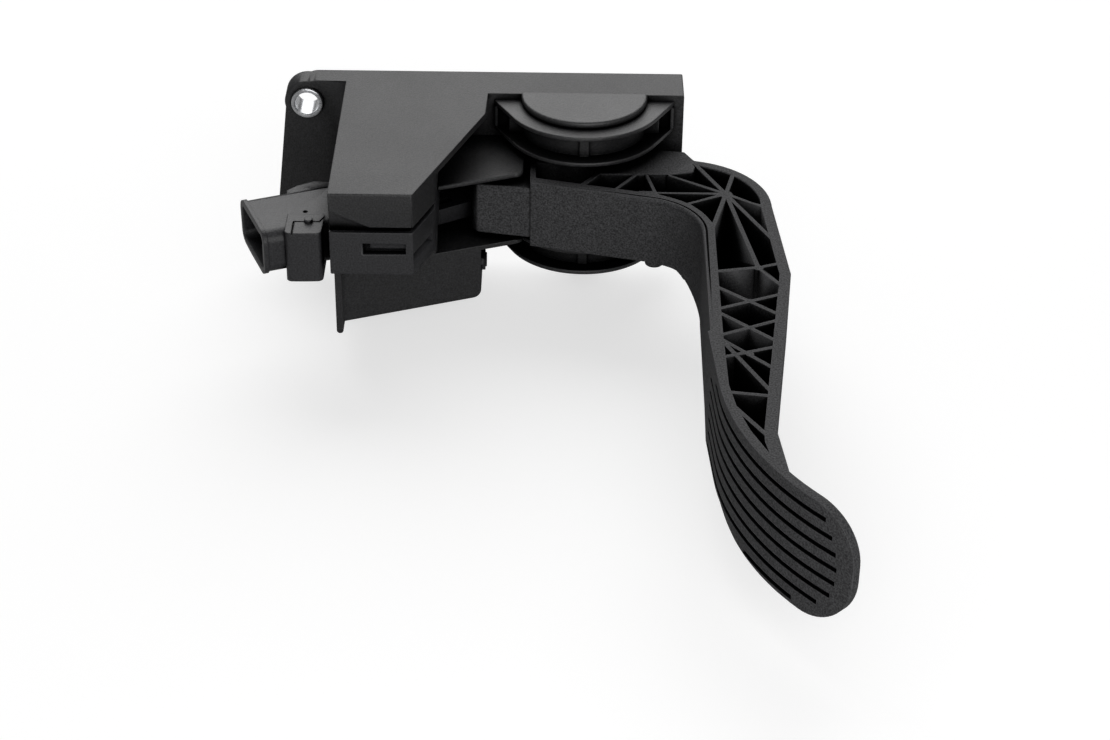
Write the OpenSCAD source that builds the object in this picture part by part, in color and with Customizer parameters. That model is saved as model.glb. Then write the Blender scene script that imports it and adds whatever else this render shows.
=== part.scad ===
// Accelerator pedal with its position sensor.
// Frame: X runs across the pedal along the pivot axis, the driver is at -Y, +Z is up.
// The mounting plane is y = 0. The origin lies on it, straight behind the pivot axis,
// on the centre plane of the arm.
// Outlines inside side() are drawn as [drop, reach]: drop is the distance below the
// pivot axis and reach is the distance out from the mounting plane.
// Outlines inside front() are drawn as [x, z] and rise from the mounting plane.

/* [Base tray] */
// Reach of the tray's front face
base_depth = 17.4; // [17:0.2:18]
// Half of the tray's width across the pedal
half_width = 31; // [31:0.5:32]
// Height of the tray's upper end, where the ear's corners start
base_top = 97; // [96:0.5:98]
// Drop of the tray's lower end below the pivot axis
base_foot = 36; // [35.5:0.5:38]
// Wall thickness of the housing moulding
wall = 2.5; // [2.3:0.1:2.7]

/* [Mounting] */
// Thickness of the ears that are bolted down
ear_thick = 9; // [8.6:0.2:9.4]
// Corner radius of the upper ear
ear_round = 12; // [11.5:0.5:12]
// Outside diameter of the metal bushings
bush_od = 11.6; // [11.2:0.2:12]
// Bolt hole through the bushings
bush_bore = 8.6; // [8.2:0.2:8.8]
// Length of the bushings
bush_len = 10.6; // [10.2:0.2:11]
// Height of the two upper bolt holes above the pivot axis
bolt_height = 101; // [100.5:0.5:101.5]
// Drop of the lower bolt hole, measured across the pedal from the arm's centre plane
foot_bolt_x = 38.5; // [38:0.5:39]

/* [Pivot] */
// Reach of the pivot axis
pivot_reach = 18; // [17.8:0.2:18.2]
// Diameter of the steel pivot pin
pin_d = 10; // [9.8:0.1:10]
// Running clearance between pin and bushes, on the radius
run_gap = 0.05; // [0.04:0.01:0.06]
// Outside radius of the arm's hub
hub_r = 14; // [13.6:0.2:14]
// Outside radius of the hub's trunnions inside the drums
trunnion_r = 9; // [8.8:0.1:9.1]
// Outside radius of the bushes in the hub
bush_r = 7; // [6.8:0.1:7.2]

/* [Spring drums] */
// Radius of the drum flanges
flange_r = 28.7; // [28.5:0.1:29]
// Half of the distance between the tips of a flange
flange_tip = 32.4; // [32:0.2:32.6]
// Radius of the drum wall
drum_r = 22.7; // [22.4:0.1:23]
// Thickness of the flanges
flange_t = 1.6; // [1.5:0.1:1.7]
// Distance of the inner flanges from the centre plane
drum_in = 17; // [17:0.1:17.2]
// Distance of the upper drum's outer face from the centre plane
drum_out_upper = 28.7; // [28.5:0.1:28.9]
// Distance of the lower drum's outer face from the centre plane
drum_out_lower = 27.1; // [26.9:0.1:27.3]
// Thickness of the caps over the pin's ends
cap_t = 2.8; // [2.6:0.1:3]
// Wire diameter of the return springs
spring_wire = 2; // [1.8:0.1:2]

/* [Pedal arm] */
// Half of the arm's width
arm_half = 13; // [12.8:0.1:13.1]
// Slope of the arm's upper stretch
arm_slope = 14.1; // [13.8:0.1:14.4]
// Radius of the front of the knee
knee_r = 23; // [22.5:0.5:23.5]
// Thickness of the arm's two flanges
flange_wall = 3.8; // [3.6:0.1:4]
// Thickness of the web that closes the far side of the truss
web_t = 2.4; // [2.2:0.1:2.6]
// Thickness of the truss ribs
rib_t = 1.5; // [1.3:0.1:1.7]
// Pedal travel in degrees, from idle to full
travel = 13; // [12:0.5:13]

/* [Pad] */
// Radius of the pad's face
pad_r = 107; // [106:0.5:108]
// Length of the pad along its face
pad_length = 114; // [113:0.2:115]
// Thickness of the pad
pad_t = 3; // [2.8:0.1:3.2]
// Reach of the pad's upper end
pad_start = 148; // [147.5:0.5:148.5]
// Distance of the pad's wide side from the arm's centre plane
pad_side = 29.2; // [28.8:0.1:29.4]
// Number of grooves in the face
groove_n = 8; // [6:1:8]
// Distance between grooves
groove_pitch = 5.13; // [5.07:0.02:5.15]
// Width of a groove
groove_w = 1.7; // [1.4:0.1:1.9]
// Depth of a groove
groove_deep = 1.3; // [1:0.1:1.5]

/* [Sensor box] */
// Reach of the sensor box's front face
box_reach = 93.5; // [93:0.5:94]
// Height of the box's outer side wall above the pivot axis
box_high = 86.5; // [86:0.5:87]
// Height of the box's inner side wall above the pivot axis
box_low = 51.5; // [51:0.5:52]
// Split between the housing shell and the sensor case
split_x = 16.2; // [16:0.1:16.4]
// Drop of the rotor axis, negative because it is above the pivot axis
rotor_drop = -70; // [-70.2:0.1:-69.8]
// Reach of the rotor axis
rotor_reach = 50; // [49.8:0.1:50.2]
// Radius of the rotor's shaft
shaft_r = 4; // [3.8:0.1:4.1]
// Distance from the pivot axis to the drive pin
drive_r = 39.5; // [39.2:0.1:39.8]
// Diameter of the drive pin
drive_d = 5; // [4.8:0.1:5]

/* [Connector] */
// Tilt of the connector towards the driver
plug_tilt = 22; // [21:0.5:23]
// Width of the shroud
plug_w = 28.4; // [28:0.2:28.6]
// Thickness of the shroud
plug_t = 16.2; // [16:0.1:16.3]
// Depth of the socket
plug_deep = 18; // [16:0.5:19]
// Wall of the shroud
plug_wall = 1.7; // [1.5:0.1:1.8]

/* [Hidden] */
$fn = 96;

eps = 0.01;
over = 1;
pivot = [0, pivot_reach];
pin_r = pin_d / 2;

// Small helpers

// Sweeps a [drop, reach] outline across the pedal from x0 to x1
module side(x0, x1) {
    translate([x1, 0, 0]) rotate([180, 90, 0]) linear_extrude(height = x1 - x0) children();
}

// Raises an [x, z] outline from reach r0 to reach r1
module front(r0, r1) {
    translate([0, -r0, 0]) rotate([90, 0, 0]) linear_extrude(height = r1 - r0) children();
}

// Round bar along X with its centre at c = [drop, reach]
module bar(c, r, x0, x1) {
    side(x0, x1) translate(c) circle(r);
}

// Bar of the given width between two points of a side outline
module strut(a, b, width) {
    along = b - a;
    reach = norm(along);
    translate(a) rotate(atan2(along[1], along[0]))
        translate([0, -width / 2]) square([reach, width]);
}

function polar(c, r, a) = [c[0] + r * cos(a), c[1] + r * sin(a)];

// Base tray and housing

ear_lean = 6.4;
ear_centre_upper = [half_width - ear_round, base_top];
ear_low_x = half_width + 3;
ear_centre_lower = [ear_round - ear_low_x, base_top + (2 * half_width + 3 - 2 * ear_round) * tan(ear_lean)];
bolt_x_upper = 22.5;
bolt_x_lower = -26;
box_corner = [-58.1, box_reach];
box_bend = [-box_low, 76.2];
roof_corner = [-34.8, 32];
apron_drop = -36.5;
apron_round = 2.8;
end_boss = [-20.5, -47.6];
fin_t = 2.4;
fin_out = 0.8;
fin_low_x = ear_low_x + 2.9;
slope_tan = 0.378;
cheek_in = 12.6;
cheek_out = 14.3;
cheek_end = -21.5;
recess_r = hub_r + 2;
recess_end = drum_out_upper + 0.1;
boss_r = bush_od / 2 + 2.4;

// Reach of the housing's slanted front at a given drop
function slant(drop) = 47.3 - slope_tan * (drop + 25);

// Front view of the tray with its rounded upper ear
module tray_outline(inset = 0) {
    w = half_width - inset;
    low = ear_low_x - inset;
    r = ear_round - inset;
    a = 90 - ear_lean;
    translate(ear_centre_upper) circle(r);
    translate(ear_centre_lower) circle(r);
    polygon([[w, inset - base_foot], [w, base_top], polar(ear_centre_upper, r, a),
             polar(ear_centre_lower, r, a), [-low, ear_centre_lower[1]],
             [-low, -apron_drop + inset], [-w, -apron_drop + inset], [-w, inset - base_foot]]);
}

module foot_ear_outline() {
    translate([-foot_bolt_x, 0]) circle(8.5);
    translate([-foot_bolt_x, -8.5]) square([foot_bolt_x - half_width + 2, 17]);
}

module bolt_places() {
    translate([bolt_x_upper, bolt_height]) children();
    translate([bolt_x_lower, bolt_height]) children();
    translate([-foot_bolt_x, 0]) children();
}

// Side view of the sensor box, grown or shrunk by a wall
module box_outline(inset = 0, back = 0) {
    polygon([[-box_high + inset, back], [-box_high + inset, box_reach - inset],
             [box_corner[0] - 0.7 * inset, box_reach - inset],
             [box_bend[0] - inset, box_bend[1] - 0.19 * inset], [box_bend[0] - inset, back]]);
}

// Side view of a cheek beside the arm's tail
module cheek_outline(from = -box_low) {
    corner = [cheek_end - 3, slant(cheek_end - 3) - 3];
    polygon([[from, 0], [from, slant(from)],
             [corner[0], slant(corner[0])], [cheek_end, corner[1]], [cheek_end, 0]]);
    translate(corner) circle(3);
}

module apron_outline(inset = 0) {
    polygon([[-box_high + inset, 0], [-box_high + inset, slant(-box_high) - inset],
             [apron_drop - inset, slant(apron_drop) - inset], [apron_drop - inset, 0]]);
}

module housing_solid() {
    front(0, ear_thick) tray_outline();
    front(0, ear_thick) foot_ear_outline();
    intersection() {
        front(0, base_depth) tray_outline();
        side(-ear_low_x, half_width) translate([-box_high, 0]) square([box_high + base_foot, base_depth]);
    }
    side(split_x, half_width) box_outline();
    side(half_width - wall, half_width)
        polygon([[-box_low - over, 0], [-box_low - over, box_bend[1] + 2.5], box_bend,
                 roof_corner, [roof_corner[0], base_depth], [roof_corner[0], 0]]);
    side(cheek_in, cheek_out) cheek_outline();
    side(-cheek_out, -cheek_in) cheek_outline(-box_low - over);
    side(-ear_low_x, -cheek_in) apron_outline();
    side(-cheek_in - over, 0)
        polygon([[-box_high, 0], [-box_high, slant(-box_high)], [-box_low, slant(-box_low)], [-box_low, 0]]);
    fin();
    // Round boss low on the end wall of the lower body
    translate([end_boss[0], end_boss[1], -apron_drop - 1.5]) cylinder(h = 4, r = 3.8);
    translate([end_boss[0], end_boss[1], -apron_drop - 2]) cylinder(h = 4, r = 2.6);
}

// Upright fin along the lower body's upper edge, with rounded tips
module fin() {
    depth = slant(-box_high) + 2.4;
    front(ear_thick, depth) {
        translate([1 - fin_low_x, box_high + fin_out - fin_t]) square([fin_low_x - 1, fin_t]);
        translate([fin_t / 2 - fin_low_x, box_high + fin_out - fin_t / 2]) circle(fin_t / 2, $fn = 32);
    }
}

// Rounds the lower body's end corner
module apron_corner() front(-over, 80) {
    difference() {
        translate([-ear_low_x - over, -apron_drop - over]) square(apron_round + over);
        translate([apron_round - ear_low_x, apron_round - apron_drop]) circle(apron_round);
    }
}

module housing_hollows() {
    // Shell round the sensor case
    side(split_x - over, half_width - wall) box_outline(wall, base_depth);
    // Chamber for the rotor's lever, open towards the arm's tail
    side(-cheek_in, over)
        polygon([[-box_high + wall, base_depth], [-box_high + wall, slant(-box_high) - wall],
                 [-box_low, slant(-box_low) - wall], [-box_low - over, slant(-box_low)],
                 [-box_low, slant(-box_low) + 5], [-box_low + over, slant(-box_low) + 5],
                 [-box_low + over, base_depth]]);
    // Hollow of the lower body, open at the back
    side(-ear_low_x + wall, -cheek_out - 0.6) difference() {
        translate([0, -over]) apron_outline(wall);
        translate([-box_high, -over]) square([box_high, ear_thick]);
    }
    // Back of the tray
    front(-over, base_depth - wall) intersection() {
        tray_outline(wall);
        translate([-half_width, -base_foot]) square([2 * half_width, base_foot + box_high - wall]);
    }
    front(-over, ear_thick - wall) intersection() {
        tray_outline(wall);
        translate([-ear_low_x, box_high]) square([2 * ear_low_x, 40]);
    }
}

// Ribs and blocks that fill the tray again where it carries something
module tray_ribs() {
    block = recess_r + 2.6;
    side(0.1 - half_width, half_width - 0.1) translate([-block, 0]) square([2 * block, base_depth]);
    front(0, base_depth - eps) for (x = [-15, 0, 15])
        translate([x - 1.1, -base_foot + eps]) square([2.2, base_foot + box_high - 2 * eps]);
    front(0, base_depth - eps) for (z = [-28, 36, 60])
        translate([-half_width + eps, z - 1.1]) square([2 * half_width - 2 * eps, 2.2]);
    front(0, ear_thick - eps) for (x = [-8, 8])
        translate([x - 1.1, box_high - wall]) square([2.2, 24.5]);
    front(0, ear_thick - eps) bolt_places() circle(boss_r);
}

module housing() color("#17181a") difference() {
    union() {
        difference() {
            housing_solid();
            housing_hollows();
        }
        tray_ribs();
        // Post under the idle stop
        side(-8, 8) polygon([[-34, base_depth - over], [-34, 19.4], [-24, 19.4], [-24, base_depth - over]]);
    }
    bar(pivot, recess_r, -recess_end, recess_end);
    front(-over, 30) bolt_places() circle(bush_od / 2);
    full_stop_seat();
    front_details();
    apron_corner();
}

// Grooves that show on the front of the shell
module front_details() {
    side(split_x - over, 18.4) difference() {
        box_outline();
        box_outline(1.6, 40);
        translate([-box_high - over, 0]) square([12.5, box_reach + over]);
        translate([-box_high - over, 0]) square([60, 70]);
    }
    front(box_reach - 1.6, box_reach + over)
        polygon([[split_x - over, box_high + over], [24.6, box_high + over],
                 [18.4, 73.8], [split_x - over, 73.8]]);
}

module mounting_bushings() color("#c9ccd0") front(0, bush_len) bolt_places() difference() {
    circle(bush_od / 2);
    circle(bush_bore / 2);
}

// Pivot

pin_lower = -drum_out_lower + 0.4;
pin_upper = drum_out_upper - 0.4;

module pivot_pin() color("#9fa3a8") bar(pivot, pin_r, pin_lower, pin_upper);

module pivot_bush(x0, x1) side(x0, x1) translate(pivot) difference() {
    circle(bush_r);
    circle(pin_r + run_gap);
}

module upper_pivot_bush() color("#b08d4f") pivot_bush(3, trunnion_upper - 0.5);
module lower_pivot_bush() color("#b08d4f") pivot_bush(-trunnion_lower + 0.5, -3);

// Spring drums

boss_face = 16.4;
trunnion_upper = 25.6;
trunnion_lower = 24;
seat_r = recess_r - 0.1;

// Half-round part of an outline, in front of the tray
module before_tray() {
    intersection() {
        children();
        translate([-60, base_depth]) square([120, 60]);
    }
}

module flange_outline() {
    a = acos(flange_r / flange_tip);
    before_tray() translate(pivot) circle(flange_r);
    before_tray() polygon([[-flange_tip, pivot_reach - 5], [-flange_tip, pivot_reach],
                           polar(pivot, flange_r, 180 - a), polar(pivot, flange_r, a),
                           [flange_tip, pivot_reach], [flange_tip, pivot_reach - 5]]);
    translate(pivot) circle(seat_r);
}

module drum_case(x0, x1) {
    side(x0, x0 + flange_t) difference() {
        flange_outline();
        translate(pivot) circle(trunnion_r + 0.5);
    }
    side(x1 - flange_t, x1) difference() {
        flange_outline();
        translate(pivot) circle(pin_r);
    }
    side(x0 + flange_t, x1 - flange_t) {
        before_tray() translate(pivot) difference() {
            circle(drum_r);
            circle(drum_r - 1.8);
        }
        translate([-1.8, pivot_reach + drum_r - 0.6]) square([3.6, 1.5]);
        translate([flange_tip - 1.4, base_depth]) square([1.4, 2.2]);
        translate([-flange_tip, base_depth]) square([1.4, 2.2]);
        for (s = [-1, 1]) before_tray()
            strut([s * (drum_r - 1), pivot_reach + 4], [s * 27, pivot_reach + 4], 1.4);
    }
}

module drum_cap(x0, x1) side(x0, x1) before_tray() translate(pivot) circle(drum_r);

module upper_drum_case() color("#1b1c1e") drum_case(drum_in, drum_out_upper);
module lower_drum_case() color("#1b1c1e") mirror([1, 0, 0]) drum_case(drum_in, drum_out_lower);
module upper_drum_cap() color("#1b1c1e") drum_cap(drum_out_upper, drum_out_upper + cap_t);
module lower_drum_cap() color("#1b1c1e") drum_cap(-drum_out_lower - cap_t, -drum_out_lower);

// Return springs: three turns of round wire about the trunnion, with a leg at each end

spring_turns = 2.1;
spring_mean = trunnion_r + 1 + spring_wire / 2;
ring_sides = 8;
ring_steps = 20;

function coil_point(t, x0) = let (a = 360 * t, r = spring_mean)
    [x0 + t * (spring_wire + 0.15), -(pivot_reach + r * sin(a)), -r * cos(a)];

function ring(c, along, r) = let (u = [1, 0, 0], v = cross(along, u) / norm(cross(along, u)),
                                  w = cross(v, along) / norm(cross(v, along)))
    [for (k = [0:ring_sides - 1]) c + r * (cos(360 * k / ring_sides) * v + sin(360 * k / ring_sides) * w)];

module wire(path) {
    n = len(path);
    points = [for (i = [0:n - 1])
        each ring(path[i], path[min(i + 1, n - 1)] - path[max(i - 1, 0)], spring_wire / 2)];
    sides = [for (i = [0:n - 2], k = [0:ring_sides - 1])
        let (a = i * ring_sides + k, b = i * ring_sides + (k + 1) % ring_sides)
        [a, b, b + ring_sides, a + ring_sides]];
    start = [[for (k = [ring_sides - 1:-1:0]) k]];
    finish = [[for (k = [0:ring_sides - 1]) (n - 1) * ring_sides + k]];
    polyhedron(points, concat(sides, start, finish), convexity = 6);
}

module return_spring(x0) {
    steps = ring_steps * spring_turns;
    coil = [for (i = [0:steps]) coil_point(i / ring_steps, x0)];
    last = coil[len(coil) - 1];
    centre = [last[0], -pivot_reach, 0];
    outward = (last - centre) / norm(last - centre);
    tangent = (last - coil[len(coil) - 2]) / norm(last - coil[len(coil) - 2]);
    leg = [last + 1.5 * tangent + 0.6 * outward, last + 3 * tangent + 2.2 * outward,
           last + 4.2 * tangent + 4.4 * outward];
    wire(concat(coil, leg));
}

spring_start = drum_in + flange_t + spring_wire / 2 + 0.15;

module upper_return_spring() color("#8b8f94") return_spring(spring_start);
module lower_return_spring() color("#8b8f94") mirror([1, 0, 0]) return_spring(spring_start);

module friction_washer(x0, x1) side(x0, x1) translate(pivot) difference() {
    circle(13.4);
    circle(trunnion_r + 0.6);
}

module upper_friction_washer() color("#d8d2b8") friction_washer(boss_face + 0.06, drum_in);
module lower_friction_washer() color("#d8d2b8") friction_washer(-drum_in, -boss_face - 0.06);

// Stops

stop_drop = 31;
stop_r = 4;

module full_stop_seat() front(base_depth - 2, base_depth + over)
    translate([0, -stop_drop]) circle(stop_r);

module full_stop_pad() color("#2a2a2c") front(base_depth - 2, base_depth + 0.4)
    translate([0, -stop_drop]) circle(stop_r);

module idle_stop_pad() color("#2a2a2c") side(-6, 6)
    polygon([[-33, 19.4], [-33, tail_back(-33) - 0.08], [-25, tail_back(-25) - 0.08], [-25, 19.4]]);

// Pedal arm

knee = [18, 83.8];
knee_turn = 90 - arm_slope;
band_start = -19;
tail_end = -38;
tail_half = 10;
tail_low = [-43, 23.4];
web_boss = [25.4, 58.6];

function tail_back(drop) = tail_low[1] + (drop - tail_low[0]) * -0.03;

// Front of the arm, moved t into the material: end of the slope, knee, start of the shank
function slope_end(t) = polar(knee, knee_r + t, -knee_turn);
function shank_start(t) = polar(knee, knee_r + t, 0);
function slope_at(t, drop) = slope_end(t)[1] + (drop - slope_end(t)[0]) * tan(arm_slope);

back_knee = [33.4, 64.2];
back_r = 32;
back_elbow = [68.7, 112];
back_waist = [57.8, 204];
shoulder = [36, 26.2];

pad_centre = [148.2, 170.5];
pad_from = 4;
pad_flat = 44;
pad_top = 39.4;
pad_flat_s = 30 + pad_r * (pad_flat - pad_from) * PI / 180;

function pad_point(t, a) = polar(pad_centre, pad_r - t, 180 - a);

// Sector of a disc that swells the back of the knee
module back_sector(r, a0, a1) {
    intersection() {
        translate(back_knee) circle(r);
        polygon([back_knee, polar(back_knee, 2 * r, a0), polar(back_knee, 2 * r, (a0 + a1) / 2),
                 polar(back_knee, 2 * r, a1)]);
    }
}

// Side view of the beam between its front and back faces
module beam_outline() {
    difference() {
        union() {
            polygon([[band_start, slope_at(-0.1, band_start)],
                     [slope_end(0)[0], slope_at(-0.1, slope_end(0)[0])],
                     polar(knee, knee_r - 3, -38), shank_start(-0.1), [40.2, pad_start],
                     [41, pad_start + 12], pad_point(1.5, 8), pad_point(1.5, 20), pad_point(1.5, 32),
                     [60.2, 227.5], back_waist, back_elbow, polar(back_knee, back_r - 0.15, -9),
                     polar(back_knee, back_r - 1, -38), polar(back_knee, back_r - 0.2, -67),
                     [39.2, 32.6], shoulder, [18, 23.8], [hub_r - 1, pivot_reach],
                     [1 - hub_r, pivot_reach], [band_start, tail_back(band_start)]]);
            back_sector(back_r, -80, 6);
            translate(pivot) circle(hub_r);
        }
        translate(knee) circle(knee_r);
    }
}

module tail_outline() {
    polygon([[band_start + over, slope_at(1, band_start + over)], [tail_end, slope_at(1, tail_end) + 1.5],
             [tail_end - 1.5, 44], tail_low, [band_start + over, tail_back(band_start)]]);
}

// Sheet that follows the pad's face, from depth t0 to depth t1
module pad_band(t0, t1, top = true) {
    far = pad_point(t0, pad_flat);
    deep = pad_point(t1, pad_flat);
    along = [sin(pad_flat), cos(pad_flat)] * (pad_length - pad_flat_s + 2);
    difference() {
        intersection() {
            translate(pad_centre) circle(pad_r - t0, $fn = 240);
            polygon([pad_centre, polar(pad_centre, 2 * pad_r, 180 - pad_from),
                     polar(pad_centre, 2 * pad_r, 180 - pad_flat / 2),
                     polar(pad_centre, 2 * pad_r, 180 - pad_flat)]);
        }
        translate(pad_centre) circle(pad_r - t1, $fn = 240);
    }
    polygon([far, far + along, deep + along, deep]);
    if (top) polygon([[pad_top + t0, pad_start], pad_point(t0, pad_from), pad_point(t1, pad_from),
                      [pad_top + t1, pad_start]]);
}

// Truss

truss_top = 43.8;
hub_node = [49.8, 57.4];
bay_start = 120.4;
bay_length = 16.1;

// Inner faces of the two flanges at a given reach
function front_in(reach) = shank_start(flange_wall)[0] - 0.008 * (reach - knee[1]);
function back_in(reach) = back_elbow[0] - flange_wall
    - (reach - back_elbow[1]) * (back_elbow[0] - back_waist[0]) / (back_waist[1] - back_elbow[1]);

module truss_field() {
    t = flange_wall;
    r = back_r - t;
    difference() {
        union() {
            polygon([[6, truss_top], [0.5, slope_at(t, 0.5)],
                     [slope_end(t)[0], slope_at(t - 0.1, slope_end(t)[0])],
                     polar(knee, knee_r, -38), shank_start(t - 0.1), [front_in(150), 150],
                     pad_point(pad_t, 5), pad_point(pad_t, 12), pad_point(pad_t, 19), pad_point(pad_t, 26), [back_in(206), 210],
                     [back_in(204), 204], [back_in(back_elbow[1]), back_elbow[1]],
                     polar(back_knee, r - 0.15, -9), polar(back_knee, r - 1, -35),
                     polar(back_knee, r - 0.12, -62), [38.8, 35.5], [41, 41.2], [30, truss_top]]);
            back_sector(r, -76, 6);
        }
        translate(knee) circle(knee_r + t);
    }
}

// Pocket beside the hub, behind the first rib
module hub_pocket() {
    t = flange_wall;
    polygon([[-17, 35.5], [-17, slope_at(t, -17)], [-1.2, slope_at(t, -1.2)], [4.3, 42.6], [3, 35.5]]);
}

module truss_ribs() {
    fan = [[39.6, 35], [53.4, 41.5], [63.6, 67], [66, 93],
           [43.6, 83.4], [34.6, 65.3], [19, 56.8], [30, truss_top]];
    for (end = fan) strut(hub_node, end, rib_t);
    translate(hub_node) circle(2.6);
    cross_node = [58.1, 107.7];
    strut(hub_node, cross_node, rib_t);
    translate(cross_node) circle(1.8);
    strut([front_in(110.5) - over, 110.6], cross_node, rib_t);
    strut(cross_node, [back_in(104) + over, 104.4], rib_t);
    strut(cross_node, [back_in(119) + over, 119.6], rib_t);
    strut([22, truss_top - over], [25.7, 59.4], rib_t);
    strut([19, truss_top - over], [9.8, 56.5], rib_t);
    for (k = [0:2]) truss_bay(bay_start + k * bay_length, k == 2 ? 11 : 14);
    strut([front_in(154) - over, 152.6], [back_in(183) + over, 183], rib_t);
    strut([front_in(183) - over, 183.2], [back_in(185) + over, 185.3], rib_t);
    strut(pad_point(pad_t - over, 11), [back_in(206) + over, 207], rib_t);
}

// Two crossing ribs between the flanges
module truss_bay(reach, rise) {
    strut([front_in(reach) - over, reach], [back_in(reach + 17) + over, reach + 17], rib_t);
    strut([front_in(reach + rise) - over, reach + rise], [back_in(reach + 4.4) + over, reach + 4.4], rib_t);
    translate([(front_in(reach) + back_in(reach)) / 2, reach + 9]) circle(1.3);
}

// Plane that touches the pad's face where it turns flat. Outlines on it are drawn [x, -distance
// along the face], with the distance counted from the pad's upper end.
module face_plane(depth) {
    origin = pad_point(0, pad_flat);
    translate([0, -origin[1], -origin[0]]) rotate([pad_flat, 0, 0]) translate([0, pad_flat_s, -depth])
        linear_extrude(height = 2 * depth) children();
}

big_corner = 20;
small_corner = 16.5;

// What is cut off the pad's sides and corners
module pad_waste() {
    near = -pad_side;
    big = [near + big_corner, big_corner - pad_length];
    small = [arm_half - small_corner, small_corner - pad_length];
    difference() {
        translate([near - 5, -pad_length - 5]) square([arm_half - near + 9, pad_length - 7]);
        polygon([[-arm_half - 1, 0], [-arm_half - 1, -13], [near + 5, -19], [near + 4.9, -45.5],
                 [near + 3, -52.3], [near + 1.5, -59.5], [near + 0.7, -67], [near + 0.2, -76], [near, -84],
                 [near, big[1]], [big[0], big[1]], [big[0], -pad_length], [small[0], -pad_length],
                 [small[0], small[1]], [arm_half + 12, small[1]], [arm_half + 12, 0]]);
        translate(big) circle(big_corner);
        translate(small) circle(small_corner);
    }
}

// Point at a distance along the pad's face and a depth below it
function pad_path(s, t) = s > pad_flat_s
    ? pad_point(t, pad_flat) + [sin(pad_flat), cos(pad_flat)] * (s - pad_flat_s)
    : s > 30 ? pad_point(t, pad_from + (s - 30) / pad_r * 180 / PI)
    : pad_point(t, pad_from) * s / 30 + [pad_top + t, pad_start] * (1 - s / 30);

// Side view of a groove that follows the face and runs out at both ends
module groove_outline(from, to) {
    steps = round((to - from) / 4);
    outer = [for (i = [0:steps]) pad_path(from + (to - from) * i / steps, -1)];
    floor = [for (i = [steps:-1:0]) pad_path(from + 3 + (to - from - 5) * i / steps, groove_deep)];
    polygon(concat(outer, floor));
}

// Grooves stop short of the pad's rounded end, and more so near its wide side. The first one and
// the one along the wide edge start lower than the others.
first_groove_x = arm_half - 4.7;
edge_groove = 7;
function groove_end(x) = pad_length - 5.3 - 0.021 * pow(x + 8, 2) - 0.11 * pow(max(0, -18 - x), 2);
function groove_start(k) = k == 0 ? 22 : k == edge_groove ? 62 : 10;

module pad_grooves() for (k = [0:groove_n - 1]) {
    x = first_groove_x - k * groove_pitch + (k == edge_groove ? 0.4 : 0);
    side(x - groove_w / 2, x + groove_w / 2) groove_outline(groove_start(k), groove_end(x));
}

drive_angle = atan2(rotor_reach - pivot_reach, rotor_drop);
drive_centre = polar(pivot, drive_r, drive_angle + travel / 2);

module pedal_arm() color("#1d1e20") difference() {
    union() {
        side(-arm_half, arm_half) {
            beam_outline();
            pad_band(0, pad_t);
        }
        side(-pad_side - over, over - arm_half) pad_band(0, pad_t);
        side(-tail_half, tail_half) tail_outline();
        bar(pivot, hub_r, -boss_face, boss_face);
        bar(pivot, trunnion_r, -trunnion_lower, trunnion_upper);
        // Round boss under the web
        bar(web_boss, 3.3, -arm_half - 2, over - arm_half);
    }
    side(-arm_half + web_t, arm_half + over) difference() {
        truss_field();
        truss_ribs();
    }
    side(-arm_half + web_t, arm_half + over) hub_pocket();
    bar(pivot, bush_r, -40, 40);
    // Slot for the lever's fork behind the tail's front skin
    side(-8.6, -1.4) polygon([[-60, 0], [-60, 41.5], [-28, 41.5], [-24.5, 36], [-24.5, 26], [-28, 18]]);
    bar(drive_centre, drive_d / 2, -tail_half - over, tail_half - 2);
    face_plane(52) pad_waste();
    pad_grooves();
}

module drive_pin() color("#9fa3a8") bar(drive_centre, drive_d / 2, -tail_half, tail_half - 2);

// Sensor module

case_back = base_depth + 0.2;
case_top = half_width - wall - 0.3;
fit_gap = 0.2;
rotor = [rotor_drop, rotor_reach];
bearing_top = 8;
lid_t = 1.8;

module case_solid() {
    side(0, split_x) box_outline(0, case_back);
    side(split_x - over, case_top - lid_t) box_outline(wall + fit_gap, case_back);
}

module sensor_case() color("#1a1b1d") difference() {
    union() {
        difference() {
            union() {
                case_solid();
                shroud_body();
            }
            side(2, case_top) box_outline(wall + fit_gap + 2, case_back + 2);
            gasket_ring();
        }
        bar(rotor, shaft_r + 3, 0, bearing_top);
        for (p = board_posts) bar(p, 2, 1, board_x);
    }
    bar(rotor, shaft_r + run_gap, -over, bearing_top + over);
    shroud_cavity();
    pin_bars();
    latch_windows();
    // Vent in the shroud's upper face
    bar([-96, 76.2], 0.9, 13.4, 16);
}

// Latch window in the front face and the slot that meets it round the corner
module latch_windows() {
    front(box_reach - 1.4, box_reach + over) translate([7.8, 60.5]) square([4.1, 14.5]);
    front(box_reach - 2.8, box_reach + over) translate([7.8, 60.5]) square([1.4, 14.5]);
    front(box_reach - 2.8, box_reach + over) translate([7.8, 73]) square([4.1, 2]);
    side(5, 8) polygon([[-57, 95], [-60.5, 89], [-56.5, 78.5], [-50, 78.5]]);
}

board_x = 18;
board_t = 1.6;
board_posts = [[-79.6, 36], [-62.4, 36], [-79.6, 82], [-63.6, 82]];
magnet_r = 5;

module board_outline() translate([-81.4, 34]) square([21, 50]);

module circuit_board() color("#20603a") side(board_x, board_x + board_t) board_outline();

module hall_chips() color("#222222") for (s = [-1, 1])
    side(board_x - 1.2, board_x) translate(rotor + [-2.1, s * 3.2 - 2]) square([4.2, 4]);

module case_lid() color("#1a1b1d") side(case_top - lid_t, case_top) box_outline(wall + fit_gap, case_back);

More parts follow.
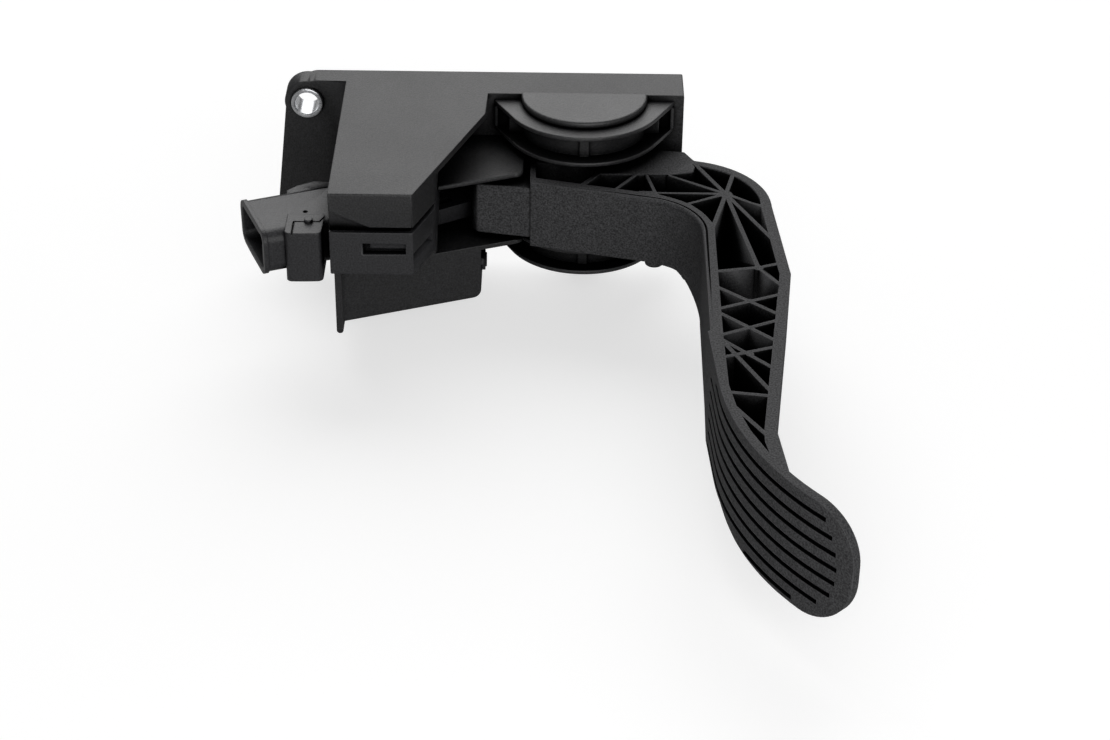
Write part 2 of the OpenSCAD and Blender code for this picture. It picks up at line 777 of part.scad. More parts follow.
module gasket_ring() side(case_top - lid_t - 1, case_top - lid_t) difference() {
    box_outline(wall + fit_gap + 0.5, case_back + 0.5);
    box_outline(wall + fit_gap + 1.5, case_back + 1.5);
}

module lid_gasket() color("#b4552d") gasket_ring();

// Rotor: a shaft in the case's bearing, with a forked lever below it

lever_x0 = -8;
lever_x1 = -2;
fork_slot = drive_d + 0.5;
lever_dir = atan2(drive_centre[1] - rotor_reach, drive_centre[0] - rotor_drop);
lever_len = norm(drive_centre - rotor);

module lever_outline() difference() {
    union() {
        circle(7.5);
        translate([0, -5.2]) square([lever_len + 3.6, 10.4]);
    }
    translate([lever_len - 4, -fork_slot / 2]) square([12, fork_slot]);
    translate([lever_len - 4, 0]) circle(fork_slot / 2);
    translate([12, -1.6]) square([lever_len - 24, 3.2]);
}

module drive_lever() color("#2b2c2e") difference() {
    union() {
        side(lever_x0, lever_x1) translate(rotor) rotate(lever_dir) lever_outline();
        bar(rotor, shaft_r + 2.5, lever_x1, -0.4);
    }
    bar(rotor, shaft_r - 1, lever_x0 + 1, 0);
}

module sensor_rotor() color("#d9d4c4") difference() {
    union() {
        bar(rotor, shaft_r - 1, lever_x0 + 1, -0.4);
        bar(rotor, shaft_r, -0.4, bearing_top + 1);
        bar(rotor, magnet_r + 1.4, bearing_top + 1, 15);
    }
    bar(rotor, magnet_r, 12, 15 + over);
}

module rotor_magnet() color("#6f7276") bar(rotor, magnet_r, 12, 15);

module shaft_seal() color("#7a3320") side(bearing_top, bearing_top + 0.9) translate(rotor) difference() {
    circle(shaft_r + 2.6);
    circle(shaft_r + 0.08);
}

// Connector

shroud_mouth = [-114.2, 79.85];
shroud_x0 = -1.8;
pin_stand = 9;
shroud_len = 30.5;

module shroud_section(w, t, r) {
    for (x = [r, t - r]) for (y = [-w / 2 + r, w / 2 - r]) translate([x, y]) circle(r, $fn = 48);
    translate([0, -w / 2 + r]) square([t, w - 2 * r]);
    translate([r, -w / 2]) square([t - 2 * r, w]);
}

// Sweeps a cross-section drawn [x from the lower face, across] along the shroud's axis
module along_shroud(l0, l1, x0) {
    translate([x0, -shroud_mouth[1], -shroud_mouth[0]]) rotate([plug_tilt, 0, 0])
        translate([0, 0, -l1]) linear_extrude(height = l1 - l0) children();
}

module shroud_body() {
    // Below the case the shroud stops at the housing's fin
    difference() {
        along_shroud(0, shroud_len, shroud_x0) shroud_section(plug_w, plug_t, 4.2);
        side(shroud_x0 - 2, -0.02) translate([-box_high - fin_out - 0.1, 40]) square([20, 60]);
    }
    along_shroud(-eps, 1.6, shroud_x0 - 0.5) shroud_section(plug_w + 1, plug_t + 1, 4.6);
    // Root that slopes from the shroud's upper face down to the box
    intersection() {
        side(0, 15) polygon([[-85, 45], [-95.5, 50], [-104, 60], [-100, 80], [-85, 80]]);
        front(45, 80) polygon([[0, 84], [0, 106], [13.9, 104.3], [13.7, 100.5], [9.6, 87], [9.6, 84]]);
    }
}

module shroud_cavity() {
    t = plug_wall;
    along_shroud(-over, plug_deep, shroud_x0 + t) shroud_section(plug_w - 2 * t, plug_t - 2 * t, 2.8);
}

pin_x = [5.6, 10.6];
pin_across = [-6, 0, 6];

module pin_bars() for (x = pin_x) for (y = pin_across)
    along_shroud(plug_deep - pin_stand, plug_deep + 4, shroud_x0)
        translate([x - 0.4, y - 0.75]) square([0.8, 1.5]);

module contact_pins() color("#c8a657") pin_bars();

collar_top = 15;
latch_hook = [-94.2, 84.2];

module collar_outline() {
    translate([-101.8, 79]) square([12.6, 11.3]);
    translate([-99.8, 79]) square([8.6, 13.3]);
    for (d = [-99.8, -91.2]) translate([d, 90.3]) circle(2, $fn = 32);
}

// Slit that frees the latch's tongue in the collar's upper face
module latch_slit() {
    strut([-99.2, 93], [-99.2, 84.2], 0.6);
    strut([-99.5, 84.2], [-95.6, 84.2], 0.6);
    strut([-92.8, 84.1], [-90.4, 84.1], 0.6);
    strut([-90.6, 84.4], [-88.7, 80], 0.6);
}

// Collar clipped over the front of the shroud's root
module connector_collar() color("#202123") {
    difference() {
        side(-4, collar_top) collar_outline();
        along_shroud(-2, shroud_len, shroud_x0 - 0.1) shroud_section(plug_w + 0.2, plug_t + 0.2, 4.2);
        side(collar_top - 0.8, collar_top + over) latch_slit();
    }
    bar(latch_hook, 1.5, collar_top - 0.3, collar_top + 1.2);
}

housing();
mounting_bushings();
pivot_pin();
upper_drum_case();
lower_drum_case();
upper_drum_cap();
lower_drum_cap();
upper_return_spring();
lower_return_spring();
upper_friction_washer();
lower_friction_washer();
idle_stop_pad();
full_stop_pad();
sensor_case();
case_lid();
lid_gasket();
circuit_board();
hall_chips();
contact_pins();
connector_collar();
shaft_seal();
pedal_arm();
upper_pivot_bush();
lower_pivot_bush();
drive_pin();
drive_lever();
sensor_rotor();
rotor_magnet();
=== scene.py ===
# %% [markdown]
# # An accelerator pedal with its position sensor
#
# The part is a hanging accelerator pedal: a ribbed plastic arm that swings between two spring
# drums, on a housing with a position sensor and its plug shroud. The solids come from CAD. This
# script gives them their finish, rounds the edges of the mouldings, adds the wall and the lip that
# the solid of the arm lacks, and sets up a camera, a table and studio light.

# %% Load the fixed frame
import math

import bmesh
import bpy
from mathutils import Matrix, Vector
from mathutils.geometry import intersect_line_line_2d


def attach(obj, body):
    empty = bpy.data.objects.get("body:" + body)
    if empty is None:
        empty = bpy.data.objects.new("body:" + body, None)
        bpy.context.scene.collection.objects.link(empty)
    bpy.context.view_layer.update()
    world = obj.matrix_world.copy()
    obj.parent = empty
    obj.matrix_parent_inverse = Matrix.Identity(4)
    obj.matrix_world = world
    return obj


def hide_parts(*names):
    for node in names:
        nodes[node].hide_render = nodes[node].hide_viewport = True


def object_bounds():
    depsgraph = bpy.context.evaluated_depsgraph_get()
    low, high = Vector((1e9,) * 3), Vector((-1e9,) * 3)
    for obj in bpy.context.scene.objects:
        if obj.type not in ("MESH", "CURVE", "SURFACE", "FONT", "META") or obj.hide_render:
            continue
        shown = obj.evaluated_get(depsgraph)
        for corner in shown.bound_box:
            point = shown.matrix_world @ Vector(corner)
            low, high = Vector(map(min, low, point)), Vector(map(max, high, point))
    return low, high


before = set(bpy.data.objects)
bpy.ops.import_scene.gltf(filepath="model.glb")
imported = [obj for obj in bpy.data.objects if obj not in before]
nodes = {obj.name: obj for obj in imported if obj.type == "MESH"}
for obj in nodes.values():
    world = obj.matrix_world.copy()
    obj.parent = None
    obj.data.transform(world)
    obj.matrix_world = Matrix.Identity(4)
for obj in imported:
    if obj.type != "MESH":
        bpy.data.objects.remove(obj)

MM = 1000
cad_low, cad_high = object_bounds()
print("solids loaded:", len(nodes), "box in mm:", [round(MM * s) for s in cad_high - cad_low])

# %% [markdown]
# ## The camera
#
# A long lens flattens perspective the way product photographs do. The pedal lies on its side in
# the picture: the pivot axis (+X) points up in it and the arm comes towards the viewer. So the
# camera is placed by its own three directions and not by a look-at point: forward leans 33
# degrees down from the mounting direction, and a small roll matches the tray's tilt.

# %% Place the camera
PITCH = math.radians(33.0)
ROLL = math.radians(0.7)
PHOTO_WIDTH = 1110
FOCAL_PIXELS = 2500
CAMERA_PLACE = (0.4383, -0.8271, 0.0094)

forward = Vector((-math.sin(PITCH), math.cos(PITCH), 0))
level_up = Vector((math.cos(PITCH), math.sin(PITCH), 0))
level_right = Vector((0, 0, -1))
right = math.cos(ROLL) * level_right + math.sin(ROLL) * level_up
up = math.cos(ROLL) * level_up - math.sin(ROLL) * level_right

camera = bpy.data.objects.new("camera", bpy.data.cameras.new("camera"))
bpy.context.scene.collection.objects.link(camera)
camera.data.sensor_width = 36
camera.data.lens = camera.data.sensor_width * FOCAL_PIXELS / PHOTO_WIDTH
turn = Matrix((right, up, -forward)).transposed()
camera.matrix_world = Matrix.Translation(CAMERA_PLACE) @ turn.to_4x4()
bpy.context.scene.camera = camera
print("lens in mm:", round(camera.data.lens, 1))

# %% [markdown]
# ## Working copies of the solids
#
# The CAD solids have knife-sharp edges. No moulding has them: a mould is cut with a small radius
# at each edge, so that it fills well and lets go. The solids are loose triangles and stay as they
# are. So each visible moulding is copied, and the copy's triangles are merged into whole faces,
# because only the edges between whole faces can be rounded.

# %% Select and shape in edit mode
def only(piece):
    """Makes one object the active and only selected one."""
    bpy.ops.object.select_all(action="DESELECT")
    bpy.context.view_layer.objects.active = piece
    piece.select_set(True)


def edit(piece, kind, chosen):
    """Opens a piece in edit mode, with the parts selected whose corners all pass a test."""
    only(piece)
    bpy.ops.object.mode_set(mode="EDIT")
    bpy.ops.mesh.select_mode(type=kind)
    bpy.ops.mesh.select_all(action="DESELECT")
    bpy.ops.object.mode_set(mode="OBJECT")
    mesh = piece.data
    parts = {"VERT": mesh.vertices, "EDGE": mesh.edges, "FACE": mesh.polygons}[kind]
    for part in parts:
        corners = [part] if kind == "VERT" else [mesh.vertices[i] for i in part.vertices]
        part.select = all(chosen(c.co) for c in corners)
    bpy.ops.object.mode_set(mode="EDIT")


def done():
    """Leaves edit mode."""
    bpy.ops.object.mode_set(mode="OBJECT")


def everywhere(spot):
    return True


print("solids still selected after loading:", len(bpy.context.selected_objects))

# %% Copy a solid, and combine two shapes
FLAT = math.radians(0.5)
SAME_CORNER = 0.000002


def working_copy(name, gap=SAME_CORNER):
    """Copies a solid and merges its triangles into whole faces."""
    piece = bpy.data.objects.new(name + "_moulding", nodes[name].data.copy())
    bpy.context.scene.collection.objects.link(piece)
    edit(piece, "VERT", everywhere)
    bpy.ops.mesh.remove_doubles(threshold=gap)
    bpy.ops.mesh.dissolve_limited(angle_limit=FLAT)
    done()
    return piece


def combine(piece, other, operation):
    """Fuses one closed piece into another, or cuts its shape out of it."""
    only(piece)
    step = piece.modifiers.new("combine", "BOOLEAN")
    step.operation, step.solver, step.object = operation, "EXACT", other
    bpy.ops.object.modifier_apply(modifier="combine")
    bpy.data.objects.remove(other)


print("triangles in the solids:", sum(len(solid.data.polygons) for solid in nodes.values()))

# %% [markdown]
# ## Which edges can be rounded
#
# A Bevel modifier would round every edge by one measure, and it folds the surface where two edges
# are closer together than that. A rounding needs an outward edge, and neighbours that are long
# enough to give way to it. A rounded neighbour that runs on in nearly the same line is no
# hindrance. So the edges are tested one by one, and since each edge that drops out takes room
# from the next, the test runs until none drops out.

# %% Find the edges with room for a rounding
SHARP = math.radians(35)
RUNS_ON = 0.85
ROOM_BY_ROUNDED_EDGE = 2.4
ROOM_BY_PLAIN_EDGE = 1.4
FAULT_REACH = 0.0015


def middle(edge):
    return (edge.verts[0].co + edge.verts[1].co) / 2


def room_needed(edge_stays_sharp, runs_on, radius):
    """How long a neighbouring edge has to be."""
    if edge_stays_sharp:
        return ROOM_BY_PLAIN_EDGE * radius
    return 0 if runs_on else ROOM_BY_ROUNDED_EDGE * radius


def is_crowded(edge, free, radius):
    """True where a neighbouring edge is too short to give way to the rounding."""
    for corner in edge.verts:
        along = (edge.other_vert(corner).co - corner.co).normalized()
        for other in corner.link_edges:
            away = (other.other_vert(corner).co - corner.co).normalized()
            runs_on = abs(along.dot(away)) > RUNS_ON
            needed = room_needed(other not in free, runs_on, radius)
            if other is not edge and other.calc_length() < needed:
                return True
    return False


def is_outward(edge):
    return edge.is_manifold and edge.is_convex and edge.calc_face_angle(0) > SHARP


def is_near(edge, spot):
    return (middle(edge) - spot).length < FAULT_REACH + edge.calc_length() / 2


def roomy_edges(mesh, radius, faults, where):
    """Numbers of the edges that can be rounded, away from the faults of an earlier try."""
    shape = bmesh.new()
    shape.from_mesh(mesh)
    free = {e for e in shape.edges if is_outward(e) and where(middle(e))}
    free -= {e for e in free for spot in faults if is_near(e, spot)}
    crowded = {e for e in free if is_crowded(e, free, radius)}
    while crowded:
        free -= crowded
        crowded = {e for e in free if is_crowded(e, free, radius)}
    chosen = [e.index for e in free]
    shape.free()
    return chosen


print("an edge counts as sharp from", round(math.degrees(SHARP)), "degrees")

# %% [markdown]
# ## What a rounding can spoil
#
# Where three walls meet at odd angles, a rounding can still fold the surface, or pull the outline
# of a face across itself, so that the face covers an opening. The eye misses this in a picture of
# black plastic. Two measures find it: an edge whose faces turn back on each other, and a face
# whose triangles cover more than its own area.

# %% Look for folds and for outlines that cross themselves
FOLDED = math.radians(150)
COVER_SHARE, COVER_MORE = 1.0005, 1e-7
TURNED_OVER = 1.5
FEW_CORNERS = 8
TOUCH = 1e-6


def folds(mesh):
    """Places where the surface turns back on itself."""
    shape = bmesh.new()
    shape.from_mesh(mesh)
    found = [middle(e) for e in shape.edges if not e.is_manifold or e.calc_face_angle(0) > FOLDED]
    shape.free()
    return found


def self_crossings(corners, normal):
    """Corners of a face whose next side runs across another side."""
    level = normal.to_track_quat("Z", "Y").to_matrix().transposed()
    outline = [(level @ c).to_2d() for c in corners]
    sides = list(zip(outline, outline[1:] + outline[:1]))
    found = []
    for i, (a, b) in enumerate(sides):
        for c, d in sides[i + 2:]:
            met = intersect_line_line_2d(a, b, c, d)
            if met and min((met - end).length for end in (a, b, c, d)) > TOUCH:
                found.append(corners[i])
    return found


def crossings(mesh):
    """Places where the outline of a face runs across itself, so that it covers its own hole."""
    mesh.calc_loop_triangles()
    covered = [0.0] * len(mesh.polygons)
    for triangle in mesh.loop_triangles:
        covered[triangle.polygon_index] += triangle.area
    found = []
    for face in mesh.polygons:
        if covered[face.index] < COVER_SHARE * face.area + COVER_MORE:
            continue
        corners = [mesh.vertices[i].co.copy() for i in face.vertices]
        if covered[face.index] > TURNED_OVER * face.area and len(corners) < FEW_CORNERS:
            found += corners
        found += self_crossings(corners, face.normal)
    return found


print("a surface counts as folded from", round(math.degrees(FOLDED)), "degrees")

# %% [markdown]
# ## Round the edges
#
# All chosen edges are rounded at once, the result is searched for faults, and the next try leaves
# the edges near them sharp. Smooth shading would then smear across the large flat faces. Weighted
# normals keep those flat and let only the narrow roundings bend the light. Where nothing may be
# rounded, faces are shaded flat.

# %% Round the edges and shade them evenly
ROUNDING_STEPS = 3
TRIES = 5
STAYS_CREASED = math.radians(40)


def bevel_edges(piece, chosen, radius):
    """Rounds the edges with the chosen numbers."""
    edit(piece, "EDGE", lambda spot: False)
    done()
    for index in chosen:
        piece.data.edges[index].select = True
    bpy.ops.object.mode_set(mode="EDIT")
    bpy.ops.mesh.bevel(offset=radius, segments=ROUNDING_STEPS, profile=0.5, clamp_overlap=False)
    done()


def shade_evenly(piece, where):
    """Shades smoothly where edges may be rounded, and flat elsewhere."""
    bpy.ops.object.shade_smooth_by_angle(angle=STAYS_CREASED)
    edit(piece, "FACE", lambda spot: not where(spot))
    bpy.ops.mesh.faces_shade_flat()
    done()
    only(piece)
    even = piece.modifiers.new("even_shading", "WEIGHTED_NORMAL")
    even.keep_sharp = True
    bpy.ops.object.modifier_apply(modifier="even_shading")


def round_edges(piece, radius, where=everywhere):
    """Rounds every edge that has room, and shades the piece."""
    plain = piece.data
    faults = []
    for attempt in range(TRIES):
        piece.data = plain.copy()
        chosen = roomy_edges(piece.data, radius, faults, where)
        bevel_edges(piece, chosen, radius)
        found = folds(piece.data) + crossings(piece.data)
        if not found:
            break
        faults += found
    shade_evenly(piece, where)
    print(piece.name, "edges rounded:", len(chosen), "faults left:", len(found),
          "tries:", attempt + 1)


print("steps in a rounding:", ROUNDING_STEPS)

# %% [markdown]
# ## The wall of the pedal arm
#
# At the knee the front wall of the arm flares out on its far side and stays wide down to the pad.
# It follows the front of the arm: a quarter turn about the knee's centre, then nearly straight on.
# Bending a sheet by hand would miss that curve. A sheet whose end is spun about the knee's centre
# follows it exactly.

# %% Where the knee is
KNEE_REACH, KNEE_DROP, KNEE_R = 0.0838, 0.018, 0.023
KNEE_ARC = math.radians(75.9)
ARM_HALF = 0.013
FLARE = 0.0112
FLARE_START, FLARE_RUN, FLARE_SWEEP = 0.010, 0.022, 1.3
knee_centre = Vector((0, -KNEE_REACH, -KNEE_DROP))


def at_knee_end(spot):
    return abs(spot.y + KNEE_REACH) < TOUCH


def run_at(spot):
    """Distance along the front of the arm, from the start of the knee."""
    turned = math.atan2(spot.y - knee_centre.y, knee_centre.z - spot.z)
    return KNEE_R * (KNEE_ARC - max(turned, 0)) + max(-KNEE_REACH - spot.y, 0)


def flare(run):
    """Width that the wall has gained at a distance from the start of the knee."""
    share = min(max((run - FLARE_START) / FLARE_RUN, 0), 1)
    return FLARE * math.sin(math.pi / 2 * share) ** FLARE_SWEEP


print("length of the knee's front in mm:", round(MM * KNEE_R * KNEE_ARC, 1))

# %% Spin the sheet of the flared wall about the knee
SINK = 0.00005
OVERLAP = 0.0025
WALL_END = 0.158
END_RISE = 0.0009
BY_THE_END = 0.0001
WALL_STEPS = 15
LATE_START = math.radians(2)
inner_x = OVERLAP - ARM_HALF
wall_width = inner_x + ARM_HALF + FLARE
wall_length = WALL_END - KNEE_REACH
sheet_place = Vector((inner_x - wall_width / 2, -KNEE_REACH - wall_length / 2,
                      -KNEE_DROP - KNEE_R - SINK))

bpy.ops.object.select_all(action="DESELECT")
bpy.ops.mesh.primitive_plane_add(size=wall_length, location=sheet_place)
wall = bpy.context.object
bpy.ops.object.transform_apply(location=True)
edit(wall, "VERT", everywhere)
bpy.ops.transform.resize(value=(wall_width / wall_length, 1, 1), center_override=sheet_place)
done()
edit(wall, "VERT", lambda spot: spot.y < -WALL_END + BY_THE_END)
bpy.ops.transform.translate(value=(0, 0, END_RISE))
done()
edit(wall, "EDGE", at_knee_end)
bpy.ops.mesh.spin(steps=WALL_STEPS, angle=LATE_START - KNEE_ARC, center=knee_centre,
                  axis=(1, 0, 0))
done()
edit(wall, "VERT", everywhere)
bpy.ops.mesh.remove_doubles(threshold=TOUCH)
done()
print("sheet, width and length in mm:", round(MM * wall_width, 1), round(MM * wall_length, 1))

# %% Draw the outer edge in where the knee begins, and give the wall its thickness
WALL_THICK = 0.003

for place in [v.co.copy() for v in wall.data.vertices if v.co.x < -ARM_HALF]:
    edit(wall, "VERT", lambda other: (other - place).length < TOUCH)
    bpy.ops.transform.translate(value=(FLARE - flare(run_at(place)), 0, 0))
    done()
only(wall)
thick = wall.modifiers.new("thick", "SOLIDIFY")
thick.thickness, thick.offset = WALL_THICK, -1
bpy.ops.object.modifier_apply(modifier="thick")
edit(wall, "FACE", everywhere)
bpy.ops.mesh.normals_make_consistent(inside=False)
done()
print("flared wall, corners:", len(wall.data.vertices), "thickness in mm:", MM * WALL_THICK)

# %% [markdown]
# ## The lip and the crease
#
# Along the near edge of that wall runs a round lip, with a fine crease behind it, from the slope
# above the knee down to the pad. The mould's parting line makes such a pair. Both follow the same
# path as the wall, so one function makes a thin rod along it: a circle that is extruded to the
# pad, spun back through the knee and extruded up the slope, with both ends drawn thin. One rod is
# fused into the arm as the lip, and another is cut out of it as the crease.

# %% A thin rod that follows the front of the arm
SLOPE = math.radians(14.1)
ROD_LENGTH, ROD_RISE = 0.0632, 0.0007
SLOPE_LENGTH = 0.0275
ROD_SIDES = 16
ROD_STEPS = 18
THINNED = (0.4, 0.4, 0.4)
THINNED_OFFSET = 0.0005
SLOPE_END_Z = -0.003


def at_slope_end(spot):
    return spot.z > SLOPE_END_Z


def front_rod(radius, x, depth):
    """A rod whose middle line is at x from the arm's middle and at a depth under its front."""
    start = Vector((x, -KNEE_REACH, -KNEE_DROP - KNEE_R - depth))
    bpy.ops.object.select_all(action="DESELECT")
    bpy.ops.mesh.primitive_circle_add(vertices=ROD_SIDES, radius=radius, fill_type="NGON",
                                      location=start, rotation=(math.pi / 2, 0, 0))
    rod = bpy.context.object
    bpy.ops.object.transform_apply(location=True, rotation=True)
    edit(rod, "FACE", everywhere)
    bpy.ops.mesh.extrude_region_move(TRANSFORM_OT_translate={"value": (0, -ROD_LENGTH, ROD_RISE)})
    pad_end = start + Vector((0, -ROD_LENGTH, THINNED_OFFSET))
    bpy.ops.transform.resize(value=THINNED, center_override=pad_end)
    done()
    edit(rod, "FACE", at_knee_end)
    bpy.ops.mesh.spin(steps=ROD_STEPS, angle=-KNEE_ARC, center=knee_centre, axis=(1, 0, 0))
    up_slope = Vector((0, math.sin(SLOPE), math.cos(SLOPE))) * SLOPE_LENGTH
    bpy.ops.mesh.extrude_region_move(TRANSFORM_OT_translate={"value": up_slope})
    done()
    edit(rod, "FACE", at_slope_end)
    tip = sum((v.co for v in rod.data.vertices if at_slope_end(v.co)), Vector()) / ROD_SIDES
    bpy.ops.transform.resize(value=THINNED, center_override=tip + Vector((0, THINNED_OFFSET, 0)))
    done()
    edit(rod, "FACE", everywhere)
    bpy.ops.mesh.remove_doubles(threshold=TOUCH)
    bpy.ops.mesh.normals_make_consistent(inside=False)
    done()
    return rod


LIP_R, LIP_INSET, LIP_DEPTH = 0.001, 0.0009, 0.0004
CREASE_R, CREASE_INSET, CREASE_DEPTH = 0.0005, 0.0003, 0.0009
lip = front_rod(LIP_R, ARM_HALF - LIP_INSET, LIP_DEPTH)
crease = front_rod(CREASE_R, ARM_HALF - CREASE_INSET, CREASE_DEPTH)
print("lip and crease, radii in mm:", MM * LIP_R, MM * CREASE_R,
      "open or folded edges:", len(folds(lip.data) + folds(crease.data)))

# %% [markdown]
# ## The finished arm
#
# A wall that is only laid against the arm would leave a seam inside. A Boolean makes one closed
# moulding of them, as the mould does. The radius stays well under half the thickness of the truss
# ribs, which are 1.5 mm: at 0.8 mm the roundings of a rib meet and cover the openings. The pad's
# grooves are too close for any rounding, so the edges of the pad stay as they are.

# %% Fuse the wall and the lip into the arm, cut the crease and round the edges
ARM_GAP = 0.00005
ARM_ROUNDING = 0.0006
PAD_TOP = 0.147

arm = working_copy("pedal_arm", ARM_GAP)
combine(arm, wall, "UNION")
combine(arm, lip, "UNION")
combine(arm, crease, "DIFFERENCE")
round_edges(arm, ARM_ROUNDING, lambda spot: spot.y > -PAD_TOP)

# %% [markdown]
# ## The other mouldings
#
# Each has the edge radius that its walls allow: larger on the thick caps and the housing, small
# on the thin flanges of the drums and on the collar. The turned bolt bushings have their edges
# broken on the lathe, and are rounded in the same way. Each copy then stands in for its solid,
# which is hidden, and is attached to the body of the pedal or of the housing.

# %% Round the mouldings
RADII = {"housing": 0.0006, "sensor_case": 0.0005, "connector_collar": 0.0004,
         "upper_drum_case": 0.0004, "lower_drum_case": 0.0004,
         "upper_drum_cap": 0.001, "lower_drum_cap": 0.001, "mounting_bushings": 0.0004}
mouldings = {"pedal_arm": arm}
for name, radius in RADII.items():
    mouldings[name] = working_copy(name)
    round_edges(mouldings[name], radius)
for name, piece in mouldings.items():
    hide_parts(name)
    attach(piece, "pedal" if name == "pedal_arm" else "housing")
print("mouldings:", len(mouldings))

# %% [markdown]
# ## Shader maths
#
# A material is a sum of small patterns. Written node by node it is hard to read, so one class
# wraps a socket and lets Python's own operators add the Math nodes. Every other node comes from
# `build`, which makes it from its type, its settings and its inputs.

# %% A socket that does arithmetic
class Signal:
    def __init__(self, tree, socket):
        self.tree, self.socket = tree, socket

    def math(self, operation, *others):
        return build(self.tree, "ShaderNodeMath", {"operation": operation}, self, *others)

    def __add__(self, other):
        return self.math("ADD", other)

    def __mul__(self, other):
        return self.math("MULTIPLY", other)

    def __sub__(self, other):
        return self.math("SUBTRACT", other)

    def __rsub__(self, other):
        return build(self.tree, "ShaderNodeMath", {"operation": "SUBTRACT"}, other, self)

    __radd__ = __add__
    __rmul__ = __mul__


def plug(tree, socket, value):
    """Links a signal to a socket, or sets a plain value on it."""
    if isinstance(value, Signal):
        tree.links.new(value.socket, socket)
    else:
        socket.default_value = value


def build(tree, kind, settings, *inputs, out=0, **named):
    """Adds a node and returns one of its outputs. An input of None keeps its own value."""
    made = tree.nodes.new(kind)
    for key, value in settings.items():
        setattr(made, key, value)
    pairs = list(enumerate(inputs)) + [(k.replace("_", " "), v) for k, v in named.items()]
    for key, value in pairs:
        if value is not None:
            plug(tree, made.inputs[key], value)
    return Signal(tree, made.outputs[out])


print("operators of a signal:", [n for n in vars(Signal) if n[-5:-2] in ("add", "sub", "mul")])

# %% The nodes that every material uses
BEVEL_SAMPLES = 6


def start_material(name):
    """A fresh material, its nodes, its surface shader and the place on the object."""
    made = bpy.data.materials.new(name)
    made.use_nodes = True
    tree = made.node_tree
    place = build(tree, "ShaderNodeTexCoord", {}, out="Object")
    return made, tree, tree.nodes["Principled BSDF"], place


def feed(tree, shader, **sockets):
    """Links signals to the shader, and sets plain numbers and colours on its own sockets."""
    for key, value in sockets.items():
        plug(tree, shader.inputs[key.replace("_", " ")], value)


def show(tree, surface):
    """Makes a shader the material's surface."""
    tree.links.new(surface.socket, tree.nodes["Material Output"].inputs["Surface"])


def noise(tree, place, scale, detail=2.0, stretch=None):
    """Soft noise from 0 to 1. The scale counts features in a metre."""
    spot = build(tree, "ShaderNodeMapping", {}, place, Scale=stretch) if stretch else place
    return build(tree, "ShaderNodeTexNoise", {}, spot, Scale=scale, Detail=detail)


def mix_colour(tree, amount, low, high):
    """Blends two colours. Five inputs of a Mix node, for other kinds of value, are left out."""
    left_out = [None] * 5
    return build(tree, "ShaderNodeMix", {"data_type": "RGBA"}, amount, *left_out, low, high, out=2)


def shaded(tone, factor, lift=0.0):
    """A colour made lighter or darker."""
    return (*[factor * c + lift for c in tone], 1)


def clamp(tree, value):
    return build(tree, "ShaderNodeClamp", {}, value)


def bump(tree, height, strength, depth, normal=None):
    return build(tree, "ShaderNodeBump", {}, Strength=strength, Distance=depth, Height=height,
                 Normal=normal)


def softened(tree, radius):
    """Normals that turn gently over the edges, to soften those that have no rounding."""
    return build(tree, "ShaderNodeBevel", {"samples": BEVEL_SAMPLES}, radius)


print("samples of a Bevel node:", BEVEL_SAMPLES)

# %% [markdown]
# ## Moulded black plastic
#
# Nearly all of the pedal is glass-filled nylon. It is never plain black: the mould's fine spark
# texture breaks up the shine, and short fibres leave faint streaks along the flow. The edges are
# painted lighter, partly as wear and partly as a painted highlight. Narrow corners get painted
# shade: an Ambient Occlusion node finds them, and in them the shiny surface gives way to a matte
# black one. A Bevel node softens the normals of the edges that are too crowded for a real
# rounding.

# %% Black plastic
PAINTED_SHADE_BLACK = (0.0015, 0.0015, 0.0016, 1)
SPARKS, CLOUDS, STREAKS = 1700, 38, 420
SPARK_DEPTH, SPARK_CONTRAST = 0.0003, 2.6
CORNER_SHADE_REACH, CORNER_SHADE_GAIN, SKY_SAMPLES = 0.016, 2.6, 8
EDGE_GAIN, EDGE_HIGHLIGHT_AND_WEAR = 6, 0.5
DARKER, LIGHTER, HIGHLIGHT_AND_WORN, HIGHLIGHT_AND_WORN_LIFT = 0.5, 1.7, 2.6, 0.006


def moulded_plastic(name, tone, rough, grain=0.5, edge=0.0006, flow=None, gloss=1.5, pit=0.7):
    """Black plastic. Corners that see less of the sky than the share pit get painted shade."""
    made, tree, shader, place = start_material(name)
    spark = noise(tree, place, SPARKS)
    cloud = noise(tree, place, CLOUDS, detail=3)
    streak = noise(tree, place, STREAKS, stretch=flow)
    soft = softened(tree, edge)
    facet = build(tree, "ShaderNodeNewGeometry", {}, out="True Normal")
    level = build(tree, "ShaderNodeVectorMath", {"operation": "DOT_PRODUCT"}, soft, facet,
                  out="Value")
    edges = clamp(tree, (1 - level) * EDGE_GAIN)
    # Painted shade in corners: where little sky is seen, the surface mixes into a matte black.
    open_sky = build(tree, "ShaderNodeAmbientOcclusion", {"samples": SKY_SAMPLES},
                     Distance=CORNER_SHADE_REACH, out="AO")
    corner = clamp(tree, (pit - open_sky) * CORNER_SHADE_GAIN)
    speckle = clamp(tree, 0.2 * cloud + 0.2 * streak + SPARK_CONTRAST * (spark - 0.5) + 0.3)
    body = mix_colour(tree, speckle, shaded(tone, DARKER), shaded(tone, LIGHTER))
    # Lighter edges: partly wear, partly a painted highlight.
    colour = mix_colour(tree, edges * EDGE_HIGHLIGHT_AND_WEAR, body, shaded(tone, HIGHLIGHT_AND_WORN, HIGHLIGHT_AND_WORN_LIFT))
    feed(tree, shader, Base_Color=colour, Roughness=rough - 0.05 + 0.1 * cloud - 0.06 * edges,
         Normal=bump(tree, spark, grain, SPARK_DEPTH, soft), IOR=gloss)
    shiny = Signal(tree, shader.outputs[0])
    # The matte black of the painted corner shade.
    painted_shade = build(tree, "ShaderNodeBsdfDiffuse", {}, PAINTED_SHADE_BLACK)
    show(tree, build(tree, "ShaderNodeMixShader", {}, corner, shiny, painted_shade))
    return made


